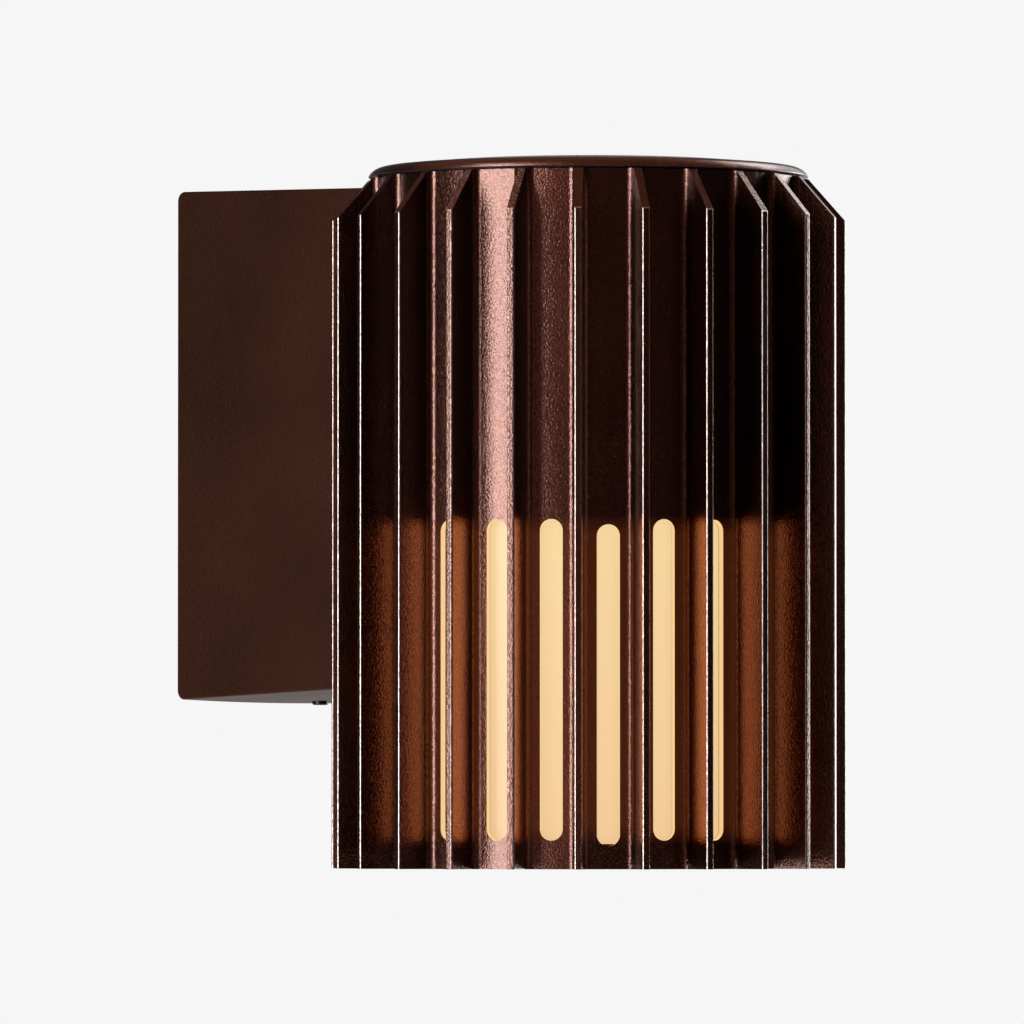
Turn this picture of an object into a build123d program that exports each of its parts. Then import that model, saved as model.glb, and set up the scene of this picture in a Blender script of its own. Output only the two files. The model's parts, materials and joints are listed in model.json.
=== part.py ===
from build123d import *
import os
from math import acos, cos, hypot, pi, radians, sin, sqrt, tan

# Outdoor wall sconce: a box on the wall carries a vertical finned tube with a flat cap.
# The wall is the plane Y = 0 and the lamp stands out along -Y, with Z up. The origin is the
# middle of the box's back. Heights of head pieces are counted up from the tube's lower end.

# Finned tube
head_height = 170.4          # tube, cap gasket and cap together
tube_r = 52.0                # outside of the tube between the fins
tube_wall = 2.0
fin_reach = 10.2             # how far a fin stands out of the tube
fin_thickness = 1.9
fin_count = 24               # steps round the full circle, the one in front points along -Y
fin_root_round = 1.8
fin_tip_round = 0.45
fin_top_flat = 1.3           # level stretch under the cap's rim, out from the tube
fin_slope_drop = 10.1        # from there down to the tip's corner
tube_edge_bevel = 0.25
slot_width = 5.5
slot_length = 76.4
slot_foot = 6.8              # tube's lower end to the slot's lower end
low_slot_step = -2.5         # the bay, in fin steps from the front, whose slot sits lower
low_slot_drop = 1.3

# Cap
cap_thickness = 3.25         # at its middle
cap_overhang = 1.4           # cap rim beyond the tube
cap_rim_round = 4.2          # the rim's outside is part of a circle this large
cap_slope_width = 9.9        # gentle slope inside the rounded rim
cap_slope_drop = 0.9
cap_foot_round = 0.15
cap_gasket_thickness = 0.25
cap_gasket_inset = 0.9       # gasket edge behind the tube's outside
spigot_depth = 5.0
spigot_wall = 2.0
cap_boss_r = 4.5
cap_boss_depth = 6.0
stud_tip_gap = 0.5           # pillar stud to the bottom of its hole in the boss

# Wall box
axis_reach = 111.5           # wall to the tube's axis
box_width = 71.0
box_foot = 41.3              # tube's lower end up to the box's underside at the wall
box_top_drop = 3.4           # head's top down to the box's top at the wall
box_wall = 3.0
box_top_draft = 1.5          # degrees, the top falls towards the tube
box_bottom_draft = 2.1       # degrees, the underside rises towards the tube
box_belly = 0.7              # the underside's middle below its side edges
box_back_round = 2.3
box_edge_round = 0.5
saddle_gasket_thickness = 0.8
saddle_gasket_margin = 2.0   # gasket edge inside the box's outline

# Wall bracket and its gasket
plate_thickness = 2.0
wall_gasket_width = 3.0
wall_gasket_depth = 3.0
hook_reach = 12.0            # top flange, forward from the wall
hook_width = 40.0
hook_lip_height = 2.0
hook_bite_gap = 0.4          # box rib above the flange
foot_flange_reach = 20.0
foot_flange_width = 40.0
fixing_slot_width = 4.6
fixing_slot_length = 9.0
fixing_rise = 45.0           # upright pair of slots, each way from the middle
fixing_spread = 22.0         # level pair of slots, each way from the middle
cable_bore_r = 4.0
cable_grommet_r = 9.0
cable_grommet_flange_r = 11.5
cable_grommet_flange = 1.5
locking_screw_r = 2.0
locking_screw_reach = 13.3   # wall to the locking screw
locking_screw_proud = 1.6    # how far it stands out of the underside
locking_socket_r = 1.2
locking_socket_depth = 1.1
locking_screw_bevel = 0.3
earth_screw_r = 2.0
earth_screw_across = 14.0
earth_screw_drop = 26.0

# Terminal block on the bracket
block_width = 30.0
block_depth = 13.0
block_height = 16.0
block_rise = 24.0            # middle of the block above the middle of the box
pole_pitch = 9.0
clamp_rise = 4.5             # clamp screws above and below the block's middle
clamp_screw_r = 1.9
clamp_well_depth = 3.0
clamp_screw_sink = 0.4
clamp_slot_depth = 0.8
clamp_floor = 1.5            # between a clamp's well and the lead socket
lead_socket_r = 1.6
fixing_screw_r = 1.5
fixing_head_r = 2.7
fixing_head_depth = 2.0
fixing_head_sink = 0.2
fixing_slot_depth = 0.8
block_corner_round = 1.0
fine_slot_width = 0.6        # driving slot of the block's screws

# Lamp carrier, its pillars and screws
cup_top_drop = 66.3          # tube's upper end down to the cup's rim
carrier_thickness = 1.5
carrier_gap = 0.4            # carrier edge to the tube's bore
tab_width = 26.0
tab_thickness = 2.0
tab_top_gap = 0.9            # tab's top below the cap spigot
low_head_screw_rise = 12.0   # above the carrier
high_head_screw_rise = 50.0
lead_hole_rise = 31.0
head_screw_r = 2.5
head_screw_head_r = 4.2
head_screw_head = 3.0
head_screw_boss_r = 6.0
head_screw_boss_depth = 1.5
head_screw_past = 2.0        # screw's tip beyond the carrier's tab
lead_grommet_r = 7.0
lead_grommet_bore_r = 4.6
lead_grommet_flange_r = 9.0
lead_grommet_flange = 1.5
lead_grommet_past = 1.0      # grommet beyond the carrier's tab
pillar_count = 3
pillar_inset = 12.0          # tube's bore to the pillars' circle
pillar_across_flats = 7.0
pillar_stud_length = 4.5
pillar_hole_depth = 9.0
small_screw_r = 2.0          # carrier, bridge and earth screws
small_head_r = 3.6
small_head = 2.4
carrier_screw_length = 8.0
bridge_screw_past = 0.5      # screw's tip below the carrier
pan_round_share = 0.3        # pan head: rounding and driving slot, as shares of the head
pan_slot_share = 0.6
pan_slot_width = 0.8
pan_slot_depth_share = 0.45

# Lampholder and the bridge that carries it
holder_r = 20.0
holder_height = 50.0
holder_neck_r = 13.0
holder_neck_height = 5.0
holder_shoulder = 12.0
holder_skirt_wall = 4.6
holder_floor_drop = 14.5     # holder's top down to the upper side of its floor
holder_floor = 4.0
holder_chamber_r = 10.0
holder_roof = 6.0
holder_hole_gap = 0.6        # holder to the hole in the carrier
bridge_thickness = 1.5
bridge_width = 14.0
bridge_clearance = 46.0      # carrier's top up to the bridge's top
bridge_leg_gap = 2.5         # holder to the bridge's legs
bridge_foot = 10.0
nipple_r = 5.0
nipple_bore_r = 4.0
nipple_top_rise = 4.0        # nipple above the bridge
nut_across_flats = 14.0
nut_thickness = 3.0
thread_r = 12.7              # mean radius of the lamp's rolled thread
thread_depth = 0.5           # half its height, crest to root
thread_pitch = 3.63
thread_rings = 5
shell_r = 14.6
contact_width = 6.0
contact_length = 9.0
contact_sheet = 0.6
contact_drop = 3.2
contact_foot = 3.0           # flat end under the holder's floor
contact_slope = 3.0          # run of the slanted part

# Lamp
lamp_length = 80.0
lamp_globe_r = 22.5
lamp_globe_wall = 1.0
lamp_cap_length = 20.0
lamp_cap_bore_r = 11.4
lamp_tip_r = 4.2
lamp_tip_height = 2.0
lamp_tip_round = 1.2
lamp_insulator_height = 3.0
lamp_insulator_r = 11.8
lamp_housing_wall = 1.5
lamp_collar = 0.6            # housing beyond the thread, just below the cap
lamp_collar_height = 3.0
lamp_rim_height = 3.0        # upright rim where the globe sits
lamp_spigot_depth = 5.0
lamp_open_r = 18.0           # where the globe meets the housing
lamp_board_thickness = 1.5

# Diffuser cup, its gasket and the retaining ring
cup_wall = 2.0
cup_gap = 1.6                # cup to the tube's bore
cup_corner_round = 2.5
cup_gasket_thickness = 2.0
cup_gasket_width = 4.5
cup_gasket_proud = 0.5       # gasket beyond the cup's outside
ring_recess = 0.8            # tube's lower end up to the ring
ring_flange = 2.0
ring_flange_width = 10.0
ring_height = 5.2
ring_edge_round = 0.6
ring_notch_width = 7.0
ring_notch_length = 4.0
ring_notch_depth = 1.2
ring_notches = 3
least_round = 0.3            # smallest rounding inside the cup

# Leads
lead_r = 1.1
lead_spread = 1.6            # live and neutral each side of the middle
lamp_lead_high = 0.9         # live and neutral above the grommet's middle
earth_lead_low = 2.0         # earth below it
lamp_lead_rise = 15.0        # how far the leads stand up out of the terminal block
earth_lead_rise = 9.0
lug_inset = 14.7             # tube's bore to the carrier's earth screw
lug_angle = 151.4            # from the front, turning towards +X
lug_r = 3.6
lug_thickness = 0.8
lug_tongue_width = 3.0
lug_barrel_r = 1.9
lug_barrel_height = 7.0

# Clearances
thread_gap = 0.05            # screw in its tapped hole, and thread of the retaining ring
seat_gap = 0.05              # curved or pressed seats
hole_gap = 0.3               # screw in a plain hole
run_gap = 0.3                # pieces that move past each other
over = 1.0                   # cutters run this far past the faces that they cut
same = 0.01                  # closer than this counts as the same place

# Places worked out from the sizes above
bore_r = tube_r - tube_wall
tip_r = tube_r + fin_reach
pillar_circle_r = bore_r - pillar_inset
lug_circle_r = bore_r - lug_inset
tube_top = head_height - cap_thickness - cap_gasket_thickness
cap_base = head_height - cap_thickness
box_height = head_height - box_top_drop - box_foot
box_half = box_width / 2
box_top = box_height / 2
box_bottom = -box_height / 2
head_base = box_bottom - box_foot
saddle_r = tube_r + saddle_gasket_thickness + 2 * seat_gap
box_inner_half = box_half - box_wall
bracket_half = box_inner_half - wall_gasket_width - 2 * seat_gap
carrier_base = tube_top - cup_top_drop + cup_gasket_thickness
carrier_top = carrier_base + carrier_thickness
bridge_top = carrier_top + bridge_clearance
holder_top = bridge_top - bridge_thickness
holder_base = holder_top - holder_height
holder_floor_top = holder_top - holder_floor_drop
holder_floor_base = holder_floor_top - holder_floor
lamp_top = holder_floor_base - contact_drop - contact_sheet - run_gap
lamp_base = lamp_top - lamp_length
lamp_cap_top = lamp_top - lamp_tip_height - lamp_insulator_height
lamp_cap_base = lamp_cap_top - lamp_cap_length
globe_middle = lamp_base + lamp_globe_r
housing_base = globe_middle + sqrt(lamp_globe_r**2 - lamp_open_r**2)
cup_r = bore_r - cup_gap
cup_top = tube_top - cup_top_drop
cup_base = ring_recess + ring_flange
ring_r = bore_r - thread_gap
fin_step = 360 / fin_count
block_front = -plate_thickness - block_depth
bridge_half = holder_r + bridge_leg_gap + bridge_thickness
bridge_screw_x = bridge_half + bridge_foot / 2
box_seat_y = -(axis_reach - saddle_r - box_wall) + head_screw_boss_depth


def at_head(shape):
    return Pos(0, -axis_reach, head_base) * shape


def rod(r, low, high):
    return Pos(0, 0, low) * Cylinder(r, high - low, align=(Align.CENTER, Align.CENTER, Align.MIN))


def tube(r_out, r_in, low, high):
    return rod(r_out, low, high) - rod(r_in, low - over, high + over)


def block(x0, x1, y0, y1, z0, z1):
    middle = Pos((x0 + x1) / 2, (y0 + y1) / 2, (z0 + z1) / 2)
    return middle * Box(x1 - x0, y1 - y0, z1 - z0)


def rod_y(r, x, z, y_from, y_to):
    # A round bar along Y between two depths.
    low = min(y_from, y_to)
    bar = Cylinder(r, abs(y_to - y_from), align=(Align.CENTER, Align.CENTER, Align.MIN))
    return Pos(x, low, z) * Rot(-90, 0, 0) * bar


def hex_bar(across_flats, low, high):
    outline = RegularPolygon(across_flats / sqrt(3), 6)
    return extrude(Pos(0, 0, low) * outline, high - low)


def turned(points):
    # A solid of revolution from (radius, height) corners.
    outline = make_face(Polyline(*[(r, 0, z) for r, z in points], close=True))
    return revolve(outline, Axis.Z, 360)


def polar(r, angle, z=0.0):
    # Angle from the front, turning towards +X.
    return Pos(r * sin(radians(angle)), -r * cos(radians(angle)), z)


def pan_screw(r, head_r, head, length):
    # Head upwards with its underside at height 0, shank below, and a driving slot.
    body = rod(head_r, 0, head) + rod(r, -length, 0)
    body = fillet(body.faces().sort_by(Axis.Z)[-1].edges(), head * pan_round_share)
    long = head_r * pan_slot_share
    wide = pan_slot_width / 2
    return body - block(-long, long, -wide, wide, head * (1 - pan_slot_depth_share), head + over)


# Finned tube

def fin_angles():
    # Every fin but those that would meet the wall box.
    angles = []
    for step in range(fin_count):
        angle = step * fin_step
        angle = angle - 360 if angle > 180 else angle
        behind = cos(radians(angle)) < 0
        side = abs(tube_r * sin(radians(angle))) - fin_thickness / 2
        if not (behind and side < box_half + run_gap):
            angles.append(angle)
    return sorted(angles)


def fin_outline(angle):
    # Starts inside the tube's wall, so that the two join.
    fin = Pos(0, (over - tube_r - tip_r) / 2) * Rectangle(fin_thickness, fin_reach + over)
    tips = fin.vertices().group_by(Axis.Y)[0]
    return Rot(0, 0, angle) * fillet(tips, fin_tip_round)


def tube_outline():
    outline = Circle(tube_r)
    for angle in fin_angles():
        outline += fin_outline(angle)
    # The circle's own seam point, at Y = 0, isn't a fin's root.
    on_tube = [v for v in outline.vertices() if abs(hypot(v.X, v.Y) - tube_r) < same]
    roots = [v for v in on_tube if abs(v.Y) > same]
    return fillet(roots, fin_root_round) - Circle(bore_r)


def slot_cut(angle, drop):
    middle = slot_foot + slot_length / 2 - drop
    outline = SlotOverall(slot_length, slot_width, rotation=90)
    cut = extrude(outline, tube_wall + 2 * over)
    radial = Pos(0, -(bore_r - over), middle) * Rot(90, 0, 0)
    return Rot(0, 0, angle) * radial * cut


def slot_cuts():
    # One slot in each bay that has a fin on both sides.
    angles = fin_angles()
    cuts = []
    for angle in angles:
        if angle + fin_step in angles:
            low = abs(angle / fin_step + 0.5 - low_slot_step) < same
            cuts.append(slot_cut(angle + fin_step / 2, low_slot_drop if low else 0))
    return cuts


def finned_tube():
    body = extrude(tube_outline(), tube_top)
    # The fins' tops run level under the cap's rim, then slope down to the tips.
    flat_end = tube_r + fin_top_flat
    shoulder = tube_top - tube_edge_bevel
    corner = shoulder - fin_slope_drop
    past = over * fin_slope_drop / (fin_reach - fin_top_flat)
    limits = [(0, 0), (tip_r + over, 0), (tip_r + over, corner - past), (flat_end, shoulder)]
    limits += [(tube_r, shoulder), (tube_r - tube_edge_bevel, tube_top), (0, tube_top)]
    body &= turned(limits)
    body -= slot_cuts()
    body = at_head(body)
    outside = -(axis_reach - tube_r) + over
    inside = -(axis_reach - bore_r) - lead_grommet_r
    for z in head_screw_heights():
        body -= rod_y(head_screw_r + hole_gap, 0, z, outside, inside)
    return body - rod_y(lead_grommet_r + seat_gap, 0, lead_hole_z(), outside, inside)


# Cap

def pillar_places(z):
    return [polar(pillar_circle_r, step * 360 / pillar_count, z) for step in range(pillar_count)]


def cap_disc():
    # Level in the middle, then a gentle slope, then a rounded rim.
    rim_r = tube_r + cap_overhang
    shoulder = head_height - cap_slope_drop
    rim_height = shoulder - cap_base
    turn = acos(1 - rim_height / cap_rim_round)
    shoulder_r = rim_r - cap_rim_round * sin(turn)
    middle_r = shoulder_r + cap_rim_round * sin(turn / 2)
    middle_z = shoulder - cap_rim_round * (1 - cos(turn / 2))
    level_r = shoulder_r - cap_slope_width
    top = Polyline((shoulder_r, 0, shoulder), (level_r, 0, head_height), (0, 0, head_height))
    foot = Polyline((0, 0, head_height), (0, 0, cap_base), (rim_r, 0, cap_base))
    rim = ThreePointArc((rim_r, 0, cap_base), (middle_r, 0, middle_z), (shoulder_r, 0, shoulder))
    disc = revolve(make_face(Wire(top.edges() + foot.edges() + [rim.edge()])), Axis.Z, 360)
    return fillet(disc.faces().sort_by(Axis.Z)[0].edges(), cap_foot_round)


def top_cap():
    body = cap_disc()
    spigot_r = bore_r - seat_gap
    body += tube(spigot_r, spigot_r - spigot_wall, cap_base - spigot_depth, cap_base)
    for place in pillar_places(0):
        boss_end = cap_base - cap_boss_depth
        hole_end = boss_end + pillar_stud_length + stud_tip_gap
        body += place * rod(cap_boss_r, boss_end, cap_base)
        body -= place * rod(small_screw_r + thread_gap, boss_end - over, hole_end)
    return at_head(body)


def cap_gasket():
    return at_head(tube(tube_r - cap_gasket_inset, bore_r, tube_top, cap_base))


# Wall box

def head_space(r):
    return at_head(rod(r, -over, head_height + over))


def top_out(y):
    return box_top + y * tan(radians(box_top_draft))


def bottom_out(y):
    return box_bottom - y * tan(radians(box_bottom_draft))


def top_in(y):
    return top_out(y) - box_wall / cos(radians(box_top_draft))


def bottom_in(y):
    return bottom_out(y) + box_wall / cos(radians(box_bottom_draft))


def side_prism(outline_points, half):
    # Points are (y, z), and the prism runs across the box.
    face = make_face(Polyline(*[(0, y, z) for y, z in outline_points], close=True))
    return extrude(face, half, both=True, dir=(1, 0, 0))


def box_cavity():
    front = -axis_reach
    points = [(over, bottom_in(0)), (over, top_in(0)), (0, top_in(0)), (front, top_in(front))]
    points += [(front, bottom_in(front)), (0, bottom_in(0))]
    return side_prism(points, box_inner_half) - head_space(saddle_r + box_wall)


def belly_space():
    # Everything above the arched underside, which rises towards the tube with the draft.
    wide = box_half
    low = box_bottom - box_belly
    high = box_top + over
    arch = ThreePointArc((-wide, over, box_bottom), (0, over, low), (wide, over, box_bottom))
    sides = Polyline((wide, over, box_bottom), (wide, over, high), (-wide, over, high))
    sides += Line((-wide, over, high), (-wide, over, box_bottom))
    face = make_face(Wire(sides.edges() + [arch.edge()]))
    rise = tan(radians(box_bottom_draft))
    return Pos(0, 0, -over * rise) * extrude(face, axis_reach + 2 * over, dir=(0, -1, rise))


def box_shell():
    front = -axis_reach
    low = box_bottom - box_belly
    points = [(0, low), (0, box_top), (front, top_out(front)), (front, low)]
    body = side_prism(points, box_half) & belly_space()
    back_edges = body.faces().sort_by(Axis.Y)[-1].edges()
    body = fillet([e for e in back_edges if abs(e.center().X) < same], box_back_round)
    side_edges = [e for e in body.edges() if abs(abs(e.center().X) - box_half) < same]
    long_edges = [e for e in side_edges if e.center().Y > front + same]
    body = fillet(long_edges, box_edge_round)
    return body - head_space(saddle_r) - box_cavity()


def hook_rib():
    # Hangs from the box's top between the bracket's lip and its plate.
    back = -(plate_thickness + wall_gasket_depth)
    front = -(hook_reach - plate_thickness) + hole_gap
    low = plate_top() + hook_bite_gap
    half = hook_width / 2
    return block(-half, half, front, back, low, top_in(back) + box_wall / 2)


def wall_box():
    body = box_shell()
    body += hook_rib()
    saddle = -(axis_reach - saddle_r) - over
    for z in head_screw_heights():
        body += rod_y(head_screw_boss_r, 0, z, saddle, box_seat_y) - head_space(saddle_r)
        body -= rod_y(head_screw_r + hole_gap, 0, z, saddle, box_seat_y + over)
    body -= rod_y(lead_grommet_r + seat_gap, 0, lead_hole_z(), saddle, box_seat_y + over)
    screw_top = bottom_in(-locking_screw_reach) + over
    screw_space = rod(locking_screw_r + thread_gap, box_bottom - box_belly - over, screw_top)
    return body - Pos(0, -locking_screw_reach, 0) * screw_space


def saddle_gasket():
    half = box_half - saddle_gasket_margin
    skin = at_head(tube(saddle_r - seat_gap, tube_r + seat_gap, 0, tube_top))
    near = -(axis_reach - saddle_r)
    far = -axis_reach
    points = [(near, bottom_out(near) + saddle_gasket_margin), (near, top_out(near) - saddle_gasket_margin)]
    points += [(far, top_out(far) - saddle_gasket_margin), (far, bottom_out(far) + saddle_gasket_margin)]
    body = skin & side_prism(points, half)
    outside = near + over
    inside = near - saddle_gasket_thickness - over
    for z in head_screw_heights():
        body -= rod_y(head_screw_r + hole_gap, 0, z, outside, inside)
    return body - rod_y(lead_grommet_r + seat_gap, 0, lead_hole_z(), outside, inside)


# Wall bracket

def plate_top():
    return top_in(-wall_gasket_depth) - wall_gasket_width - 2 * seat_gap


def plate_bottom():
    return bottom_in(-wall_gasket_depth) + wall_gasket_width + 2 * seat_gap


def fixing_cut(x, z, upright):
    outline = SlotOverall(fixing_slot_length, fixing_slot_width, rotation=90 if upright else 0)
    return Pos(x, over, z) * Rot(90, 0, 0) * extrude(outline, plate_thickness + 2 * over)


def wall_bracket():
    top = plate_top()
    low = plate_bottom()
    back = -plate_thickness
    hook = hook_width / 2
    foot = foot_flange_width / 2
    body = block(-bracket_half, bracket_half, back, 0, low, top)
    body += block(-hook, hook, -hook_reach, back, top - plate_thickness, top)
    body += block(-hook, hook, -hook_reach, -hook_reach + plate_thickness, top, top + hook_lip_height)
    body += block(-foot, foot, -foot_flange_reach, back, low, low + plate_thickness)
    for z in (-fixing_rise, fixing_rise):
        body -= fixing_cut(0, z, True)
    for x in (-fixing_spread, fixing_spread):
        body -= fixing_cut(x, 0, False)
    body -= rod_y(cable_grommet_r + seat_gap, 0, 0, over, back - over)
    body -= rod_y(earth_screw_r + thread_gap, earth_screw_across, -earth_screw_drop, over, back - over)
    body -= rod_y(fixing_screw_r + thread_gap, pole_pitch / 2, block_rise, over, back - over)
    hole = rod(locking_screw_r + hole_gap, low - over, low + plate_thickness + over)
    return body - Pos(0, -locking_screw_reach, 0) * hole


def wall_gasket():
    half = bracket_half + seat_gap
    outer_half = half + wall_gasket_width
    low = plate_bottom() - seat_gap
    top = plate_top() + seat_gap
    outer_low = low - wall_gasket_width
    outer_top = top + wall_gasket_width
    frame = block(-outer_half, outer_half, -wall_gasket_depth, 0, outer_low, outer_top)
    return frame - block(-half, half, -wall_gasket_depth - over, over, low, top)


def cable_grommet():
    front = -plate_thickness - cable_grommet_flange
    body = rod_y(cable_grommet_r, 0, 0, 0, -plate_thickness)
    body += rod_y(cable_grommet_flange_r, 0, 0, -plate_thickness, front)
    return body - rod_y(cable_bore_r, 0, 0, over, front - over)


def locking_screw():
    low = bottom_out(-locking_screw_reach) - locking_screw_proud
    high = plate_bottom() + plate_thickness
    body = rod(locking_screw_r, low, high)
    body = chamfer(body.faces().sort_by(Axis.Z)[0].edges(), locking_screw_bevel)
    socket = extrude(Pos(0, 0, low - over) * RegularPolygon(locking_socket_r, 6), locking_socket_depth + over)
    return Pos(0, -locking_screw_reach, 0) * (body - socket)


def earth_screw():
    screw = pan_screw(earth_screw_r, small_head_r, small_head, plate_thickness - thread_gap)
    return Pos(earth_screw_across, -plate_thickness, -earth_screw_drop) * Rot(90, 0, 0) * screw


# Terminal block

def pole_places():
    return (-pole_pitch, 0.0, pole_pitch)


def clamp_heights():
    return (block_rise - clamp_rise, block_rise + clamp_rise)


def terminal_block():
    half = block_width / 2
    low = block_rise - block_height / 2
    high = block_rise + block_height / 2
    body = block(-half, half, block_front, -plate_thickness, low, high)
    body = fillet(body.edges().filter_by(Axis.Y), block_corner_round)
    well_floor = block_front + clamp_well_depth
    for x in pole_places():
        body -= Pos(x, lead_socket_y(), 0) * rod(lead_socket_r, low - over, high + over)
        for z in clamp_heights():
            body -= rod_y(clamp_screw_r + hole_gap, x, z, block_front - over, well_floor)
    x = pole_pitch / 2
    head_seat = block_front + fixing_head_depth
    body -= rod_y(fixing_head_r + hole_gap, x, block_rise, block_front - over, head_seat)
    return body - rod_y(fixing_screw_r + hole_gap, x, block_rise, block_front, 0)


def lead_socket_y():
    return block_front + clamp_well_depth + lead_socket_r + clamp_floor


def level_slot(r, x, z, face_y, depth):
    # Driving slot, level, in a screw whose end is at face_y.
    wide = fine_slot_width / 2
    return block(x - r, x + r, face_y - over, face_y + depth, z - wide, z + wide)


def terminal_screws():
    screws = []
    end = block_front + clamp_screw_sink
    for x in pole_places():
        for z in clamp_heights():
            screw = rod_y(clamp_screw_r, x, z, end, block_front + clamp_well_depth)
            screws.append(screw - level_slot(clamp_screw_r, x, z, end, clamp_slot_depth))
    return screws


def terminal_fixing_screw():
    x = pole_pitch / 2
    end = block_front + fixing_head_sink
    seat = block_front + fixing_head_depth
    head = rod_y(fixing_head_r, x, block_rise, end, seat)
    head -= level_slot(fixing_head_r, x, block_rise, end, fixing_slot_depth)
    return head + rod_y(fixing_screw_r, x, block_rise, seat, -thread_gap)


# Screws and grommet between box and tube

def head_screw_heights():
    return [head_base + carrier_top + rise for rise in (low_head_screw_rise, high_head_screw_rise)]


def lead_hole_z():
    return head_base + carrier_top + lead_hole_rise


def head_screws():
    tip = -(axis_reach - bore_r) - tab_thickness - head_screw_past
    screw = pan_screw(head_screw_r, head_screw_head_r, head_screw_head, box_seat_y - tip)
    return [Pos(0, box_seat_y, z) * Rot(-90, 0, 0) * screw for z in head_screw_heights()]


def lead_grommet():
    wall = -(axis_reach - saddle_r - box_wall)
    outer = wall + lead_grommet_flange
    inner = -(axis_reach - bore_r) - tab_thickness - lead_grommet_past
    z = lead_hole_z()
    body = rod_y(lead_grommet_r, 0, z, wall, inner)
    body += rod_y(lead_grommet_flange_r, 0, z, wall, outer)
    return body - rod_y(lead_grommet_bore_r, 0, z, inner - over, outer + over)


# Lamp carrier and pillars

def lamp_carrier():
    disc = tube(bore_r - carrier_gap, holder_r + holder_hole_gap, carrier_base, carrier_top)
    tab_top = cap_base - spigot_depth - tab_top_gap
    tab = tube(bore_r - seat_gap, bore_r - tab_thickness, carrier_base, tab_top)
    tab = tab & block(-tab_width / 2, tab_width / 2, 0, tube_r, carrier_base, tab_top)
    body = disc + tab
    for place in pillar_places(0):
        body -= place * rod(small_screw_r + hole_gap, carrier_base - over, carrier_top + over)
    tapped = rod(small_screw_r + thread_gap, carrier_base - over, carrier_top + over)
    for side in (-1, 1):
        body -= Pos(side * bridge_screw_x, 0, 0) * tapped
    body -= polar(lug_circle_r, lug_angle) * tapped
    body = at_head(body)
    near = -(axis_reach - bore_r) + over
    far = near - tab_width / 2
    for z in head_screw_heights():
        body -= rod_y(head_screw_r + thread_gap, 0, z, near, far)
    return body - rod_y(lead_grommet_r + seat_gap, 0, lead_hole_z(), near, far)


def carrier_pillars():
    seat = cap_base - cap_boss_depth
    pillar = hex_bar(pillar_across_flats, carrier_top, seat)
    pillar += rod(small_screw_r, seat, seat + pillar_stud_length)
    pillar -= rod(small_screw_r + thread_gap, carrier_top - over, carrier_top + pillar_hole_depth)
    return [at_head(place * pillar) for place in pillar_places(0)]


def carrier_screws():
    screw = Rot(180, 0, 0) * pan_screw(small_screw_r, small_head_r, small_head, carrier_screw_length)
    return [at_head(place * screw) for place in pillar_places(carrier_base)]


def diffuser_gasket():
    r_out = cup_r + cup_gasket_proud
    return at_head(tube(r_out, r_out - cup_gasket_width, cup_top, carrier_base))


# Lampholder

def lampholder_bridge():
    half = bridge_half
    wide = bridge_width / 2
    inside = half - bridge_thickness
    body = block(-half, half, -wide, wide, carrier_top, bridge_top)
    under = bridge_top - bridge_thickness
    body -= block(-inside, inside, -wide - over, wide + over, carrier_top - over, under)
    for side in (-1, 1):
        x0, x1 = sorted((side * inside, side * (half + bridge_foot)))
        foot_top = carrier_top + bridge_thickness
        body += block(x0, x1, -wide, wide, carrier_top, foot_top)
        hole = rod(small_screw_r + hole_gap, carrier_top - over, foot_top + over)
        body -= Pos(side * bridge_screw_x, 0, 0) * hole
    return at_head(body - rod(nipple_r + hole_gap, under - over, bridge_top + over))


def bridge_screws():
    length = carrier_thickness + bridge_thickness + bridge_screw_past
    screw = pan_screw(small_screw_r, small_head_r, small_head, length)
    seat = carrier_top + bridge_thickness
    return [at_head(Pos(side * bridge_screw_x, 0, seat) * screw) for side in (-1, 1)]


def lampholder_nipple():
    low = holder_top - holder_roof
    return at_head(tube(nipple_r, nipple_bore_r, low, bridge_top + nipple_top_rise))


def lampholder_nut():
    top = bridge_top + nut_thickness
    nut = hex_bar(nut_across_flats, bridge_top, top)
    return at_head(nut - rod(nipple_r + thread_gap, bridge_top - over, top + over))


def lampholder_body():
    neck_base = holder_top - holder_neck_height
    skirt_r = holder_r - holder_skirt_wall
    roof_base = holder_top - holder_roof
    mouth_r = nipple_r + thread_gap
    outline = [(mouth_r, holder_top), (holder_neck_r, holder_top), (holder_neck_r, neck_base)]
    outline += [(holder_r, neck_base - holder_shoulder), (holder_r, holder_base), (skirt_r, holder_base)]
    outline += [(skirt_r, holder_floor_base), (0, holder_floor_base), (0, holder_floor_top)]
    outline += [(holder_chamber_r, holder_floor_top), (holder_chamber_r, roof_base), (mouth_r, roof_base)]
    return at_head(turned(outline))


def thread_curve(offset, high):
    # Rolled thread: alternating arcs down from a height, crest first.
    arcs = []
    mean = thread_r + offset
    for half_turn in range(2 * thread_rings):
        z = high - half_turn * thread_pitch / 2
        side = thread_depth if half_turn % 2 == 0 else -thread_depth
        start = (mean, 0, z)
        middle = (mean + side, 0, z - thread_pitch / 4)
        end = (mean, 0, z - thread_pitch / 2)
        arcs.append(ThreePointArc(start, middle, end))
    return arcs


def threaded_ring(offset, high, plain_r, top, base):
    # Ring with a rolled thread on one side and a plain wall at plain_r on the other.
    mean = thread_r + offset
    low = high - thread_rings * thread_pitch
    sides = Polyline((mean, 0, high), (mean, 0, top), (plain_r, 0, top))
    sides += Polyline((plain_r, 0, top), (plain_r, 0, base), (mean, 0, base), (mean, 0, low))
    outline = Wire(sides.edges() + [arc.edge() for arc in thread_curve(offset, high)])
    return revolve(make_face(outline), Axis.Z, 360)


def thread_start():
    return lamp_cap_top - (lamp_cap_length - thread_rings * thread_pitch) / 2


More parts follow.
